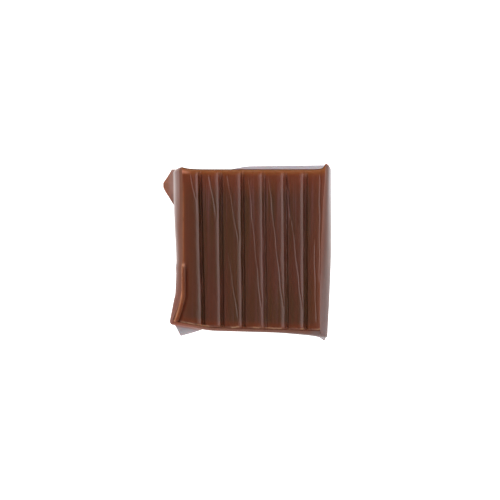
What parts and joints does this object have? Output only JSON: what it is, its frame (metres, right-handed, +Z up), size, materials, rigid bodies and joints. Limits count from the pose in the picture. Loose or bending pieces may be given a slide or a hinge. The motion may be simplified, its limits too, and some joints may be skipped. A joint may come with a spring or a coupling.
{
  "type": "ribbed caramel square",
  "caption": "Square block of soft brown caramel lying flat, with a ribbed top face, slanting creases, a curled lip on one edge and thin smeared corners.",
  "frame": {"origin": "under the middle of the block's box, on the surface it lies on", "axes": "+X across the ribs, away from the curled lip; +Y along the ribs, towards the cut end with the film; +Z up out of the ribbed face"},
  "size_m": [0.0214, 0.0226, 0.0133],
  "materials": {
    "caramel": "satin brown caramel, slightly waxy, glossier on the ribs and paler where it is thin"
  },
  "bodies": {
    "root": {"caramel": "caramel"}
  },
  "joints": []
}
